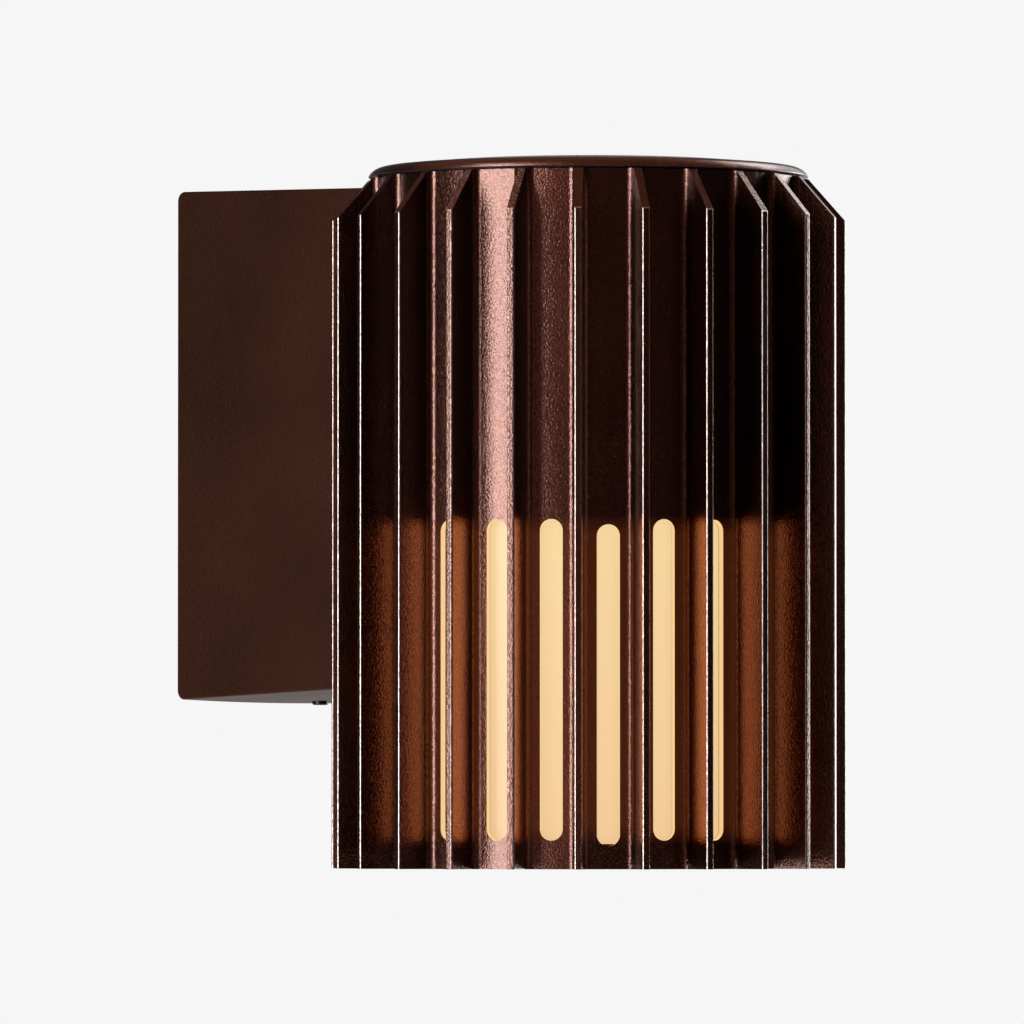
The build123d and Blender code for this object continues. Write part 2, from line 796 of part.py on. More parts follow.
def lampholder_shell():
    top = lamp_cap_top + run_gap
    base = lamp_cap_base
    return at_head(threaded_ring(run_gap, thread_start(), shell_r, top, base))


def lampholder_contact():
    # Sprung strip: flat under the holder's floor, then down to the lamp's tip.
    high = holder_floor_base
    low = high - contact_drop
    end = -contact_length / 2
    bend = end + contact_foot
    foot = bend + contact_slope
    sheet = contact_sheet
    points = [(end, high), (bend, high), (foot, low), (-end, low), (-end, low - sheet)]
    points += [(foot - sheet / 2, low - sheet), (bend - sheet / 2, high - sheet), (end, high - sheet)]
    face = make_face(Polyline(*[(x, 0, z) for x, z in points], close=True))
    return at_head(extrude(face, contact_width / 2, both=True, dir=(0, 1, 0)))


# Lamp

def lamp_contact():
    tip = rod(lamp_tip_r, lamp_top - lamp_tip_height, lamp_top)
    return at_head(fillet(tip.faces().sort_by(Axis.Z)[-1].edges(), lamp_tip_round))


def lamp_insulator():
    high = lamp_top - lamp_tip_height
    low = lamp_cap_top
    return at_head(turned([(0, high), (lamp_tip_r, high), (lamp_insulator_r, low), (0, low)]))


def lamp_cap():
    return at_head(threaded_ring(0.0, thread_start(), lamp_cap_bore_r, lamp_cap_top, lamp_cap_base))


def lamp_housing():
    spigot_r = lamp_cap_bore_r - seat_gap
    spigot_top = lamp_cap_base + lamp_spigot_depth
    wall = lamp_housing_wall
    collar = lamp_cap_base - lamp_collar_height
    rim = housing_base + lamp_rim_height
    outline = [(spigot_r, spigot_top), (spigot_r, lamp_cap_base), (thread_r, lamp_cap_base)]
    outline += [(thread_r + lamp_collar, collar), (lamp_open_r, rim), (lamp_open_r, housing_base)]
    outline += [(lamp_open_r - wall, housing_base), (lamp_open_r - wall, rim)]
    outline += [(spigot_r - wall, collar), (spigot_r - wall, spigot_top)]
    return at_head(turned(outline))


def lamp_globe():
    ball = Pos(0, 0, globe_middle) * (Sphere(lamp_globe_r) - Sphere(lamp_globe_r - lamp_globe_wall))
    return at_head(ball & rod(lamp_globe_r + over, lamp_base - over, housing_base))


def lamp_board():
    r = lamp_open_r - lamp_housing_wall - seat_gap
    return at_head(rod(r, housing_base, housing_base + lamp_board_thickness))


# Diffuser

def diffuser_cup():
    body = rod(cup_r, cup_base, cup_top)
    body = fillet(body.faces().sort_by(Axis.Z)[0].edges(), cup_corner_round)
    hollow = rod(cup_r - cup_wall, cup_base + cup_wall, cup_top)
    inner_round = max(cup_corner_round - cup_wall, least_round)
    hollow = fillet(hollow.faces().sort_by(Axis.Z)[0].edges(), inner_round)
    return at_head(body - hollow)


def retaining_ring():
    base = ring_recess
    inner_r = ring_r - ring_flange_width
    body = tube(ring_r, inner_r, base, base + ring_height)
    body -= rod(cup_r + run_gap, base + ring_flange, base + ring_height + over)
    lip = body.faces().sort_by(Axis.Z)[0].edges()
    body = fillet(lip, ring_edge_round)
    middle_r = (inner_r + ring_r) / 2
    wide = ring_notch_width / 2
    long = ring_notch_length / 2
    for step in range(ring_notches):
        top = base + ring_notch_depth
        notch = block(-wide, wide, middle_r - long, middle_r + long, base - over, top)
        body -= Rot(0, 0, step * 360 / ring_notches) * notch
    return at_head(body)


# Leads

def corner_radii(points):
    # As large as the two runs at each corner allow.
    radii = []
    for before, here, after in zip(points, points[1:], points[2:]):
        arriving = Vector(*here) - Vector(*before)
        leaving = Vector(*after) - Vector(*here)
        shorter = min(arriving.length, leaving.length)
        radii.append(0.45 * shorter / tan(radians(arriving.get_angle(leaving) / 2)))
    return radii


def lead(name, points):
    radii = corner_radii(points)
    path = FilletPolyline(*points, radius=radii)
    start = Plane(origin=path @ 0, z_dir=path % 0)
    body = sweep(start * Circle(lead_r), path=path)
    share = body.volume / (pi * lead_r**2 * path.length)
    print(name, "radii", [round(r, 1) for r in radii], "volume / section x length", round(share, 4))
    return body


def lamp_lead(name, side):
    # From the terminal block through the grommet, over the bridge and down the nipple.
    x_block = side * pole_pitch
    x = side * lead_spread
    z = lead_hole_z() + lamp_lead_high
    y_block = lead_socket_y()
    block_top = block_rise + block_height / 2
    rise = block_top + lamp_lead_rise
    crossing = head_base + (bridge_top + nipple_top_rise + cap_base) / 2
    y_back = -(axis_reach - bore_r)
    points = [(x_block, y_block, block_top - 3), (x_block, y_block, rise)]
    points += [(x_block * 0.6, y_block - 17, rise - 2)]
    points += [(x, y_back + 21, z), (x, y_back - 12, z), (x, y_back - 24, z + 9)]
    points += [(x, -axis_reach + 15, crossing), (x, -axis_reach, crossing)]
    points += [(x, -axis_reach, head_base + holder_floor_top)]
    return lead(name, points)


def earth_lead():
    z = lead_hole_z() - earth_lead_low
    y_block = lead_socket_y()
    block_top = block_rise + block_height / 2
    y_back = -(axis_reach - bore_r)
    barrel = lug_barrel_place()
    x_lug = barrel.X
    y_lug = barrel.Y - axis_reach
    floor = head_base + carrier_top + lug_barrel_height
    rise = block_top + earth_lead_rise
    points = [(0, y_block, block_top - 3), (0, y_block, rise), (0, y_block - 17, rise - 2)]
    points += [(0, y_back + 19, z), (0, y_back - 6, z), (x_lug * 0.6, y_lug + 2, floor + 20)]
    points += [(x_lug, y_lug, floor + 12), (x_lug, y_lug, floor)]
    return lead("earth_lead", points)


def lug_barrel_place():
    # Beside the earth screw, seen from the tube's axis.
    return polar(lug_circle_r, lug_angle).position + Vector(lug_r + lug_barrel_r, 0, 0)


def carrier_earth_lug():
    # Ring under the screw's head, with an upright barrel that grips the lead.
    screw = polar(lug_circle_r, lug_angle)
    barrel = lug_barrel_place()
    top = carrier_top + lug_thickness
    wide = lug_tongue_width / 2
    x, y = screw.position.X, screw.position.Y
    body = screw * rod(lug_r, carrier_top, top)
    body += block(x, barrel.X, y - wide, y + wide, carrier_top, top)
    body += Pos(barrel) * rod(lug_barrel_r, carrier_top, carrier_top + lug_barrel_height)
    return at_head(body - screw * rod(small_screw_r + hole_gap, carrier_top - over, top + over))


def carrier_earth_screw():
    screw = pan_screw(small_screw_r, small_head_r, small_head, carrier_thickness + lug_thickness)
    return at_head(polar(lug_circle_r, lug_angle, carrier_top + lug_thickness) * screw)


parts = {
    "wall_bracket": wall_bracket(),
    "wall_gasket": wall_gasket(),
    "cable_grommet": cable_grommet(),
    "terminal_block": terminal_block(),
    "terminal_screws": terminal_screws(),
    "terminal_fixing_screw": terminal_fixing_screw(),
    "earth_screw": earth_screw(),
    "wall_box": wall_box(),
    "locking_screw": locking_screw(),
    "saddle_gasket": saddle_gasket(),
    "head_screws": head_screws(),
    "lead_grommet": lead_grommet(),
    "finned_tube": finned_tube(),
    "top_cap": top_cap(),
    "cap_gasket": cap_gasket(),
    "lamp_carrier": lamp_carrier(),
    "carrier_pillars": carrier_pillars(),
    "carrier_screws": carrier_screws(),
    "lampholder_bridge": lampholder_bridge(),
    "bridge_screws": bridge_screws(),
    "lampholder_nipple": lampholder_nipple(),
    "lampholder_nut": lampholder_nut(),
    "lampholder_body": lampholder_body(),
    "lampholder_shell": lampholder_shell(),
    "lampholder_contact": lampholder_contact(),
    "diffuser_gasket": diffuser_gasket(),
    "live_lead": lamp_lead("live_lead", -1),
    "neutral_lead": lamp_lead("neutral_lead", 1),
    "earth_lead": earth_lead(),
    "carrier_earth_lug": carrier_earth_lug(),
    "carrier_earth_screw": carrier_earth_screw(),
    "diffuser_cup": diffuser_cup(),
    "retaining_ring": retaining_ring(),
    "lamp_globe": lamp_globe(),
    "lamp_board": lamp_board(),
    "lamp_housing": lamp_housing(),
    "lamp_cap": lamp_cap(),
    "lamp_insulator": lamp_insulator(),
    "lamp_contact": lamp_contact(),
}

os.makedirs("parts", exist_ok=True)
for node, shape in parts.items():
    if isinstance(shape, list):
        shape = Compound(children=[solid for piece in shape for solid in piece.solids()])
    export_step(shape, "parts/" + node + ".step")
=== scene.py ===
import json
from math import cos, pi, radians, sin

import bpy
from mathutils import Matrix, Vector


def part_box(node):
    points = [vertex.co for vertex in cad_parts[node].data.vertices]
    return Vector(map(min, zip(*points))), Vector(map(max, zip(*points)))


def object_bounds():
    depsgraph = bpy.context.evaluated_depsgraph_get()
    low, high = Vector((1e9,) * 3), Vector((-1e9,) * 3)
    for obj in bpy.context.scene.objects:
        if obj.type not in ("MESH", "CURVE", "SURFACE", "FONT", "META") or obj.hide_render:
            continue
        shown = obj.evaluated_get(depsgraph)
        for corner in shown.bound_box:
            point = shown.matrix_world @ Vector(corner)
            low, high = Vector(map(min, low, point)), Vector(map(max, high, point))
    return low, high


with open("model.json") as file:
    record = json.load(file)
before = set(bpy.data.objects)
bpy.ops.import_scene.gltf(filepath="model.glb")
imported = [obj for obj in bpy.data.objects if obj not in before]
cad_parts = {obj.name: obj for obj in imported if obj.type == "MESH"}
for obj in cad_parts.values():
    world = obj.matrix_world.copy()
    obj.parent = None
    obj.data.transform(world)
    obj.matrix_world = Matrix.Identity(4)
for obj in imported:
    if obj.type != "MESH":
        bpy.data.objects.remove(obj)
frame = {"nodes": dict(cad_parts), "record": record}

# An outdoor wall light: a dark bronze finned tube with a flat cap, carried by a box on the wall.
# An opal cup glows behind upright slots. The wall is the plane Y = 0, and the lamp stands out
# along -Y. Lengths are in metres and angles in degrees, unless a name says otherwise.

cad_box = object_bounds()
nodes = frame["nodes"]

# Camera, set as for the photograph
axis_reach = 0.1115          # from the wall to the tube's axis
view_azimuth = -42.33        # from the front towards -X
view_distance = 2.718        # from the camera to the tube's axis
view_side = 0.0185           # the picture's middle lies this far left of the axis
view_pitch = 1.5375          # upwards
eye_height = -0.0909
lens_mm = 394.9
sensor_mm = 36.0
nearest_seen = 0.1
farthest_seen = 50.0

# Room and floor
background = (0.922, 0.922, 0.922)
room_level = 0.42            # what the room gives to matt surfaces
floor_drop = 0.30            # below the lamp
floor_radius = 6.0
floor_corners = 96
floor_colour = (0.80, 0.80, 0.80)
floor_patch = 1.03           # how much paler its palest patches are
floor_rough = 0.85

# Studio cards: name, first and last angle round the axis, low and high edge as distance and
# height, and shine. Angles in the studio count from the camera's own, to the right.
card_steps = 24
card_dark = (0.010, 0.010, 0.010)
card_light = (0.014, 0.014, 0.014)
cards = (
    ("warm_card", -35.0, -8.0, (1.2, -0.9), (1.2, 1.3), (0.40, 0.17, 0.13)),
    ("front_card", -8.0, 50.0, (1.2, -0.9), (1.2, 1.3), (0.060, 0.014, 0.006)),
    ("right_card", 50.0, 112.0, (1.2, -0.9), (1.2, 1.3), (0.008, 0.003, 0.002)),
    ("left_card", -165.0, -72.0, (1.8, -0.9), (1.8, 1.5), (0.025, 0.014, 0.014)),
    ("rear_card", -195.0, -165.0, (1.8, 0.30), (1.8, 1.5), (0.05, 0.04, 0.05)),
    ("high_card", 0.0, 360.0, (2.2, 1.6), (0.0, 1.6), (0.30, 0.12, 0.070)),
)

# Softboxes: name, angle, distance, height, width, tallness, watts, colour, seen in gloss
white = (1.0, 1.0, 1.0)
softbox_aim = 0.7            # they face the point this share of the way from the wall to the axis
softboxes = (
    ("left_softbox", -48.8, 1.4, 0.0, 0.70, 1.5, 31.5, (1.0, 0.97, 0.96), True),
    ("high_left_softbox", -62.0, 0.75, 1.2, 0.70, 0.30, 6.0, white, True),
    ("high_right_softbox", 141.0, 0.9, 0.80, 0.40, 0.35, 1.7, white, True),
    ("top_softbox", 10.0, 1.2, 1.5, 1.0, 1.0, 6.0, white, False),
    ("right_rear_softbox", 135.0, 1.4, -0.1, 0.86, 1.0, 12.0, white, True),
)

# The tube, its fins' tips and its slots, as in the solid
bore_r = 0.050
tube_r = 0.052
fin_tip_r = 0.0622
fin_tip_round = 0.00045
slot_count = 18
slot_step = 15.0
first_slot = -127.5          # from the front, towards -X
slot_width = 0.0055
slot_length = 0.0764
slot_foot = 0.0068           # above the tube's lower end
slot_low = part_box("finned_tube")[0].z + slot_foot
slot_high = slot_low + slot_length
slot_margin = 0.0015         # room for the one slot that sits lower

# Metallic paint on the tube, the cap and the ring
flake_scale = 3600.0         # flakes in a metre
flake_lean = 0.14            # full spread of a flake's tilt, as a share of its normal
peel_depth = 0.00009
coat_share = 0.7
coat_rough = 0.12

# Painted highlight: a pale band on the rounded edges of the fins' tips, where their highlight lines fall
painted_edge_highlight = (0.32, 0.28, 0.26)
highlight_start = 0.66            # as a share of the edge's radius, inwards from the tip
highlight_stop = 0.000012         # inwards from the tip
highlight_soft = 0.000006

# The lit cup is far brighter than its own surface can show. So a glow from it is painted on the slots' walls and,
# faintly, on the tube beside the slots, and a strip of light in each slot lights the fins.
glow_top = (0.94, 0.69, 0.340)
glow_foot = (0.88, 0.57, 0.290)
glow_level = 0.92
lamp_glow = (1.0, 0.86, 0.62)
lamp_level = 0.95
painted_wall_glow = (0.86, 0.58, 0.26)
wall_inset = 0.0002
wall_soft = 0.0001
painted_bay_glow = (0.042, 0.0085, 0.0014)
bay_low_r = tube_r - 0.0001
bay_high_r = tube_r + 0.0010
bay_soft_r = 0.0006
bay_inset = 0.004            # from the slots' ends
bay_soft = 0.005
bay_full = 0.034             # behind the axis, where its glow starts to fade
bay_none = 0.038             # behind the axis, where it has gone
strip_glow = (1.0, 0.19, 0.010)
strip_level = 1.80
strip_r = 0.0522             # just outside the tube
strip_least = 0.5            # share of its light that a strip at the side gives
strip_gain = 3.1             # how fast that share grows with the cosine of its angle to the view
strip_fade = 0.735           # cosine below which the share stays least

noise_range = (0.3, 0.7)     # where most of a noise texture lies


def from_view(angle, distance, height):
    # A place round the tube's axis, its angle counted from the camera's own, to the right.
    a = radians(view_azimuth + angle)
    return Vector((distance * sin(a), -axis_reach - distance * cos(a), height))


def put(name, data):
    piece = bpy.data.objects.new(name, data)
    bpy.context.scene.collection.objects.link(piece)
    return piece


class Shader:
    # A material and its Principled shader, with short calls that add nodes and return sockets.

    def __init__(self, name):
        self.material = bpy.data.materials.new(name)
        self.material.use_nodes = True
        self.tree = self.material.node_tree
        self.main = self.tree.nodes["Principled BSDF"]

    def add(self, kind, **settings):
        node = self.tree.nodes.new(kind)
        for key, value in settings.items():
            setattr(node, key, value)
        return node

    def link(self, source, target):
        self.tree.links.new(source, target)

    def feed(self, socket, source):
        self.link(source, self.main.inputs[socket])

    def set(self, **values):
        for key, value in values.items():
            self.main.inputs[key.replace("_", " ").title().replace("Ior", "IOR")].default_value = value

    def place(self, scale=(1.0, 1.0, 1.0)):
        # The piece's own coordinates, in metres, stretched along its axes.
        coordinates = self.add("ShaderNodeTexCoord")
        stretch = self.add("ShaderNodeMapping")
        stretch.inputs["Scale"].default_value = scale
        self.link(coordinates.outputs["Object"], stretch.inputs["Vector"])
        return stretch.outputs["Vector"]

    def along(self, axis):
        split = self.add("ShaderNodeSeparateXYZ")
        self.link(self.place(), split.inputs["Vector"])
        return split.outputs[axis]

    def from_axis(self):
        # Distance from the tube's axis.
        moved = self.vector("ADD", self.place(), (0.0, axis_reach, 0.0))
        flat = self.vector("MULTIPLY", moved, (1.0, 1.0, 0.0))
        length = self.add("ShaderNodeVectorMath", operation="LENGTH")
        self.link(flat, length.inputs[0])
        return length.outputs["Value"]

    def noise(self, per_metre, stretch=(1.0, 1.0, 1.0), detail=3.0):
        texture = self.add("ShaderNodeTexNoise")
        texture.inputs["Scale"].default_value = per_metre
        texture.inputs["Detail"].default_value = detail
        self.link(self.place(stretch), texture.inputs["Vector"])
        return texture.outputs["Fac"]

    def cell_colour(self, per_metre):
        # A random colour for each small cell.
        texture = self.add("ShaderNodeTexVoronoi")
        texture.inputs["Scale"].default_value = per_metre
        self.link(self.place(), texture.inputs["Vector"])
        return texture.outputs["Color"]

    def cells(self, per_metre):
        # A random grey for each small cell.
        split = self.add("ShaderNodeSeparateColor")
        self.link(self.cell_colour(per_metre), split.inputs["Color"])
        return split.outputs["Red"]

    def flake_tilt(self, per_metre, tilt):
        # Each small cell faces its own way, as the flakes in metallic paint do.
        lean = self.vector("SUBTRACT", self.cell_colour(per_metre), (0.5, 0.5, 0.5))
        lean = self.vector("MULTIPLY", lean, (tilt, tilt, tilt))
        straight = self.add("ShaderNodeNewGeometry").outputs["Normal"]
        return self.vector("NORMALIZE", self.vector("ADD", straight, lean))

    def vector(self, operation, first, second=None):
        node = self.add("ShaderNodeVectorMath", operation=operation)
        self.link(first, node.inputs[0])
        if isinstance(second, tuple):
            node.inputs[1].default_value = second
        elif second is not None:
            self.link(second, node.inputs[1])
        return node.outputs["Vector"]

    def combine(self, first, second, operation="ADD"):
        node = self.add("ShaderNodeMath", operation=operation)
        self.link(first, node.inputs[0])
        self.link(second, node.inputs[1])
        return node.outputs[0]

    def both(self, first, second):
        return self.combine(first, second, "MULTIPLY")

    def span(self, value, source, target):
        # One range carried over to another.
        ranged = self.add("ShaderNodeMapRange")
        for socket, number in zip(("From Min", "From Max", "To Min", "To Max"), (*source, *target)):
            ranged.inputs[socket].default_value = number
        self.link(value, ranged.inputs["Value"])
        return ranged.outputs["Result"]

    def spread(self, noise, low, high):
        return self.span(noise, noise_range, (low, high))

    def between(self, value, low, high, soft):
        # One from low to high, and nothing outside them.
        rising = self.span(value, (low - soft, low), (0.0, 1.0))
        return self.both(rising, self.span(value, (high, high + soft), (1.0, 0.0)))

    def mix(self, factor, dark, light):
        # Between two colours, each a tuple or a socket.
        mixer = self.add("ShaderNodeMix", data_type="RGBA")
        self.link(factor, mixer.inputs[0])
        for colour, socket in ((dark, mixer.inputs[6]), (light, mixer.inputs[7])):
            if isinstance(colour, tuple):
                socket.default_value = (*colour, 1.0)
            else:
                self.link(colour, socket)
        return mixer.outputs[2]

    def uneven(self, rough, *layers):
        # Roughness about one value. Each layer is a noise and how far it moves the value.
        (noise, reach), *others = layers
        total = self.spread(noise, rough - reach, rough + reach)
        for noise, reach in others:
            total = self.combine(total, self.spread(noise, -reach, reach))
        self.feed("Roughness", total)

    def bump(self, *layers, normal=None, socket="Normal"):
        # Each layer is a height socket and its real depth in metres.
        for height, depth in layers:
            node = self.add("ShaderNodeBump")
            node.inputs["Distance"].default_value = depth
            self.link(height, node.inputs["Height"])
            if normal:
                self.link(normal, node.inputs["Normal"])
            normal = node.outputs["Normal"]
        self.link(normal, self.main.inputs[socket])


# Materials

def painted_highlight_and_glow(s, colour):
    # A pale band painted on the rounded edges of the fins' tips stands in for their highlight lines, and the cup's
    # light is painted as glow on the slots' walls and on the tube between the fins.
    radius = s.from_axis()
    height = s.along("Z")
    highlight_band = s.between(radius, fin_tip_r - highlight_start * fin_tip_round, fin_tip_r - highlight_stop, highlight_soft)
    in_wall = s.between(radius, bore_r + wall_inset, tube_r - wall_inset, wall_soft)
    in_slot = s.between(height, slot_low - slot_margin, slot_high + slot_margin, wall_soft)
    in_bay = s.between(radius, bay_low_r, bay_high_r, bay_soft_r)
    beside = s.between(height, slot_low + bay_inset, slot_high - bay_inset, bay_soft)
    in_front = s.span(s.along("Y"), (bay_full - axis_reach, bay_none - axis_reach), (1.0, 0.0))
    wall = s.both(in_wall, in_slot)
    bay = s.both(s.both(in_bay, beside), in_front)
    # Painted glow: emission on the slots' walls and, faintly, on the tube beside the slots.
    s.feed("Emission Color", s.mix(wall, painted_bay_glow, painted_wall_glow))
    s.feed("Emission Strength", s.combine(wall, bay, "MAXIMUM"))
    # Painted highlight: the pale band on the tips' edges.
    return s.mix(highlight_band, colour, painted_edge_highlight)


def bronze(name, dark, light, rough, grain, finned=False):
    # Metallic bronze paint under a thin clear skin: fine flakes that each face their own way,
    # a slight orange peel, and faint upright draw lines in its roughness.
    s = Shader(name)
    flakes = s.cells(flake_scale)
    peel = s.noise(per_metre=2200.0, detail=1.0)
    lines = s.noise(per_metre=900.0, stretch=(1.0, 1.0, 0.02), detail=2.0)
    patches = s.noise(per_metre=28.0, detail=4.0)
    tone = s.combine(s.span(flakes, (0.0, 1.0), (-0.15, 0.85)), s.spread(patches, 0.0, 0.3))
    colour = s.mix(tone, dark, light)
    # On the finned tube, a painted edge highlight and painted glow are added.
    if finned:
        colour = painted_highlight_and_glow(s, colour)
    s.feed("Base Color", colour)
    s.uneven(rough, (patches, 0.03), (lines, 0.01))
    s.bump((peel, peel_depth * grain), normal=s.flake_tilt(flake_scale, flake_lean * grain))
    s.bump((peel, peel_depth * grain), socket="Coat Normal")
    s.set(metallic=1.0, coat_weight=coat_share, coat_roughness=coat_rough)
    return s.material


def cast_bronze(name, dark, light, rough):
    # Bronze powder coat over a casting: matt, with a fine texture.
    s = Shader(name)
    pebble = s.noise(per_metre=1400.0, detail=2.0)
    flakes = s.cells(per_metre=3000.0)
    patches = s.noise(per_metre=18.0, detail=3.0)
    tone = s.combine(s.span(flakes, (0.0, 1.0), (0.0, 0.5)), s.spread(patches, 0.1, 0.5))
    s.feed("Base Color", s.mix(tone, dark, light))
    s.uneven(rough, (patches, 0.04))
    s.bump((pebble, 0.00007), (flakes, 0.00001))
    s.set(metallic=1.0)
    return s.material


def opal(name, node, top, foot, level):
    # Milky plastic lit from behind, a little deeper in colour towards its foot.
    s = Shader(name)
    low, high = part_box(node)
    rise = s.span(s.along("Z"), (low.z, high.z), (0.0, 1.0))
    cloud = s.noise(per_metre=14.0, detail=2.0)
    shade = s.combine(rise, s.spread(cloud, -0.06, 0.06))
    s.feed("Base Color", s.mix(cloud, (0.13, 0.12, 0.10), (0.16, 0.15, 0.13)))
    s.feed("Emission Color", s.mix(shade, foot, top))
    s.uneven(0.54, (cloud, 0.04))
    s.bump((s.noise(per_metre=600.0), 0.00002))
    s.set(emission_strength=level, specular_ior_level=0.1)
    return s.material


def plated(name, dark, light, rough):
    # Bare or plated metal with fine tool marks and a slightly uneven plating.
    s = Shader(name)
    marks = s.noise(per_metre=2400.0, stretch=(1.0, 1.0, 0.05), detail=2.0)
    patches = s.noise(per_metre=60.0, detail=4.0)
    s.feed("Base Color", s.mix(s.spread(patches, 0.0, 1.0), dark, light))
    s.uneven(rough, (marks, 0.06), (patches, 0.03))
    s.bump((marks, 0.000012), (patches, 0.00002))
    s.set(metallic=1.0)
    return s.material


def moulded(name, dark, light, rough, grain=0.00003):
    # Moulded plastic or rubber with a fine skin.
    s = Shader(name)
    skin = s.noise(per_metre=900.0, detail=3.0)
    patches = s.noise(per_metre=40.0, detail=3.0)
    s.feed("Base Color", s.mix(s.spread(patches, 0.0, 1.0), dark, light))
    s.uneven(rough, (skin, 0.05), (patches, 0.03))
    s.bump((skin, grain))
    return s.material


def striped(name, first, second, rough):
    # Two-colour insulation.
    s = Shader(name)
    wave = s.add("ShaderNodeTexWave", bands_direction="DIAGONAL")
    wave.inputs["Scale"].default_value = 260.0
    s.link(s.place(), wave.inputs["Vector"])
    s.feed("Base Color", s.mix(s.span(wave.outputs["Fac"], (0.45, 0.55), (0.0, 1.0)), first, second))
    s.uneven(rough, (s.noise(per_metre=800.0), 0.05))
    s.bump((s.noise(per_metre=1500.0), 0.00001))
    return s.material


# Each is its maker, then dark and light colour and roughness. Bronze adds its grain and whether
# it is the finned tube's, and rubber the depth of its skin. Opal is its node, the colours of its
# top and foot, and its brightness.
recipes = {
    # The finned tube's bronze carries the painted edge highlight and the painted glow.
    "bronze_extrusion": (bronze, (0.039, 0.0125, 0.0075), (0.108, 0.040, 0.0265), 0.27, 1.0, True),
    "bronze_cap": (bronze, (0.045, 0.015, 0.009), (0.125, 0.046, 0.030), 0.30, 0.5),
    "bronze_ring": (bronze, (0.042, 0.013, 0.008), (0.125, 0.045, 0.030), 0.34, 0.7),
    "bronze_cast": (cast_bronze, (0.0395, 0.0152, 0.0086), (0.0630, 0.0238, 0.0142), 0.48),
    "opal_diffuser": (opal, "diffuser_cup", glow_top, glow_foot, glow_level),
    "lamp_opal": (opal, "lamp_globe", lamp_glow, lamp_glow, lamp_level),
    "lamp_plastic": (moulded, (0.72, 0.72, 0.70), (0.80, 0.80, 0.78), 0.35),
    "lamp_board": (plated, (0.70, 0.70, 0.68), (0.80, 0.80, 0.78), 0.45),
    "lamp_cap_metal": (plated, (0.62, 0.60, 0.56), (0.78, 0.76, 0.72), 0.25),
    "zinc_steel": (plated, (0.50, 0.52, 0.55), (0.66, 0.67, 0.68), 0.34),
    "black_steel": (plated, (0.020, 0.018, 0.018), (0.050, 0.045, 0.045), 0.30),
    "black_rubber": (moulded, (0.012, 0.012, 0.012), (0.022, 0.021, 0.020), 0.72, 0.00005),
    "white_silicone": (moulded, (0.62, 0.60, 0.55), (0.72, 0.70, 0.65), 0.60),
    "white_nylon": (moulded, (0.70, 0.69, 0.64), (0.78, 0.77, 0.73), 0.48),
    "black_phenolic": (moulded, (0.012, 0.012, 0.013), (0.022, 0.022, 0.023), 0.38),
    "brass": (plated, (0.66, 0.45, 0.18), (0.80, 0.60, 0.28), 0.28),
    "brown_insulation": (moulded, (0.10, 0.035, 0.012), (0.14, 0.050, 0.020), 0.35),
    "blue_insulation": (moulded, (0.010, 0.050, 0.260), (0.020, 0.080, 0.360), 0.35),
    "green_insulation": (striped, (0.030, 0.260, 0.040), (0.780, 0.620, 0.030), 0.35),
}
materials = {name: maker(name, *values) for name, (maker, *values) in recipes.items()}


def dress_frame():
    for part in frame["record"]["subparts"]:
        mesh = nodes[part["node"]].data
        mesh.materials.clear()
        mesh.materials.append(materials[part["material_slot"]])


# Surroundings

def make_world():
    # The camera, gloss and glass see a pale room, and matt surfaces get the room's own light.
    world = bpy.data.worlds.new("studio")
    world.use_nodes = True
    tree = world.node_tree
    room = tree.nodes["Background"]
    room.inputs["Color"].default_value = (1.0, 1.0, 1.0, 1.0)
    room.inputs["Strength"].default_value = room_level
    pale = tree.nodes.new("ShaderNodeBackground")
    pale.inputs["Color"].default_value = (*background, 1.0)
    path = tree.nodes.new("ShaderNodeLightPath")
    seen = path.outputs["Is Camera Ray"]
    for ray in ("Is Glossy Ray", "Is Transmission Ray"):
        either = tree.nodes.new("ShaderNodeMath")
        either.operation = "MAXIMUM"
        tree.links.new(seen, either.inputs[0])
        tree.links.new(path.outputs[ray], either.inputs[1])
        seen = either.outputs[0]
    mixer = tree.nodes.new("ShaderNodeMixShader")
    for source, target in zip((seen, room.outputs[0], pale.outputs[0]), mixer.inputs):
        tree.links.new(source, target)
    tree.links.new(mixer.outputs[0], tree.nodes["World Output"].inputs["Surface"])
    bpy.context.scene.world = world


def make_floor():
    height = cad_box[0].z - floor_drop
    corners = [from_view(step * 360.0 / floor_corners, floor_radius, height) for step in range(floor_corners)]
    mesh = bpy.data.meshes.new("floor")
    mesh.from_pydata(corners, [], [list(range(floor_corners))])
    floor = put("floor", mesh)
    s = Shader("floor")
    s.feed("Base Color", s.mix(s.noise(per_metre=3.0), floor_colour, tuple(c * floor_patch for c in floor_colour)))
    s.set(roughness=floor_rough)
    # From below, the floor lets the lamp be seen.
    from_below = s.add("ShaderNodeNewGeometry").outputs["Backfacing"]
    clear = s.add("ShaderNodeBsdfTransparent").outputs[0]
    mixer = s.add("ShaderNodeMixShader")
    for source, target in zip((from_below, s.main.outputs[0], clear), mixer.inputs):
        s.link(source, target)
    s.link(mixer.outputs[0], s.tree.nodes["Material Output"].inputs["Surface"])
    mesh.materials.append(s.material)


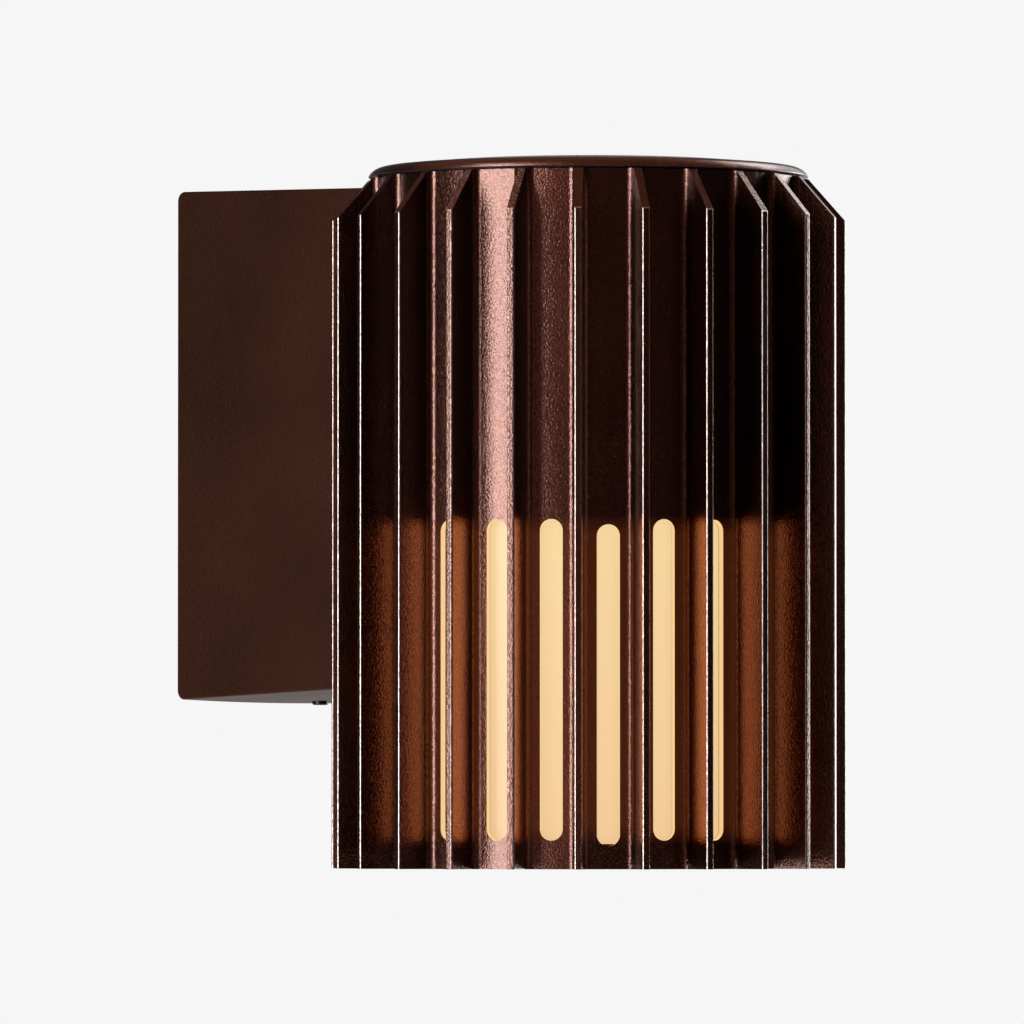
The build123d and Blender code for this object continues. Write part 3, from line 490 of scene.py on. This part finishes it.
def card(name, first, last, low, high, shine):
    # A curved card that only gloss sees. It is almost black, and shines a little in one colour.
    points = []
    for step in range(card_steps + 1):
        angle = first + (last - first) * step / card_steps
        points.append(from_view(angle, *low))
        points.append(from_view(angle, *high))
    faces = [(2 * k, 2 * k + 2, 2 * k + 3, 2 * k + 1) for k in range(card_steps)]
    mesh = bpy.data.meshes.new(name)
    mesh.from_pydata(points, [], faces)
    piece = put(name, mesh)
    s = Shader(name)
    s.feed("Base Color", s.mix(s.noise(per_metre=5.0), card_dark, card_light))
    s.set(roughness=1.0, emission_color=(*shine, 1.0), emission_strength=1.0)
    mesh.materials.append(s.material)
    piece.visible_camera = False
    piece.visible_diffuse = False
    piece.visible_shadow = False
    piece.visible_transmission = False


def area_light(name, width, tall, watts, colour, place, facing):
    # A flat light that the camera can't see.
    light = bpy.data.lights.new(name, "AREA")
    light.shape = "RECTANGLE"
    light.size = width
    light.size_y = tall
    light.energy = watts
    light.color = colour
    lamp = put(name, light)
    lamp.location = place
    lamp.visible_camera = False
    lamp.rotation_mode = "QUATERNION"
    lamp.rotation_quaternion = facing.to_track_quat("-Z", "Y")
    return lamp


def softbox(name, angle, distance, height, width, tall, watts, colour, in_gloss):
    place = from_view(angle, distance, height)
    facing = Vector((0.0, -axis_reach * softbox_aim, 0.0)) - place
    lamp = area_light(name, width, tall, watts, colour, place, facing)
    lamp.visible_glossy = in_gloss


def slot_strips():
    # One upright strip in each slot, facing outwards. The glow falls off from the slots that
    # face the photograph's camera to those at the sides, as it does in the photograph.
    middle = Vector((0.0, -axis_reach, slot_low + slot_length / 2))
    for step in range(slot_count):
        a = radians(first_slot + step * slot_step)
        share = strip_least + strip_gain * max(0.0, cos(a - radians(view_azimuth)) - strip_fade)
        watts = strip_level * share * pi * slot_width * slot_length
        outward = Vector((sin(a), -cos(a), 0.0))
        place = outward * strip_r + middle
        area_light("slot_light", slot_width, slot_length, watts, strip_glow, place, outward)


def make_camera():
    data = bpy.data.cameras.new("camera")
    data.lens = lens_mm
    data.sensor_width = sensor_mm
    data.clip_start = nearest_seen
    data.clip_end = farthest_seen
    camera = put("camera", data)
    a = radians(view_azimuth)
    side = Vector((cos(a), sin(a), 0.0)) * view_side
    camera.location = from_view(0.0, view_distance, eye_height) - side
    camera.rotation_euler = (radians(90.0 + view_pitch), 0.0, a)
    bpy.context.scene.camera = camera


make_camera()
make_world()
make_floor()
dress_frame()
for values in cards:
    card(*values)
for values in softboxes:
    softbox(*values)
slot_strips()

scene = bpy.context.scene
scene.view_settings.view_transform = "Standard"
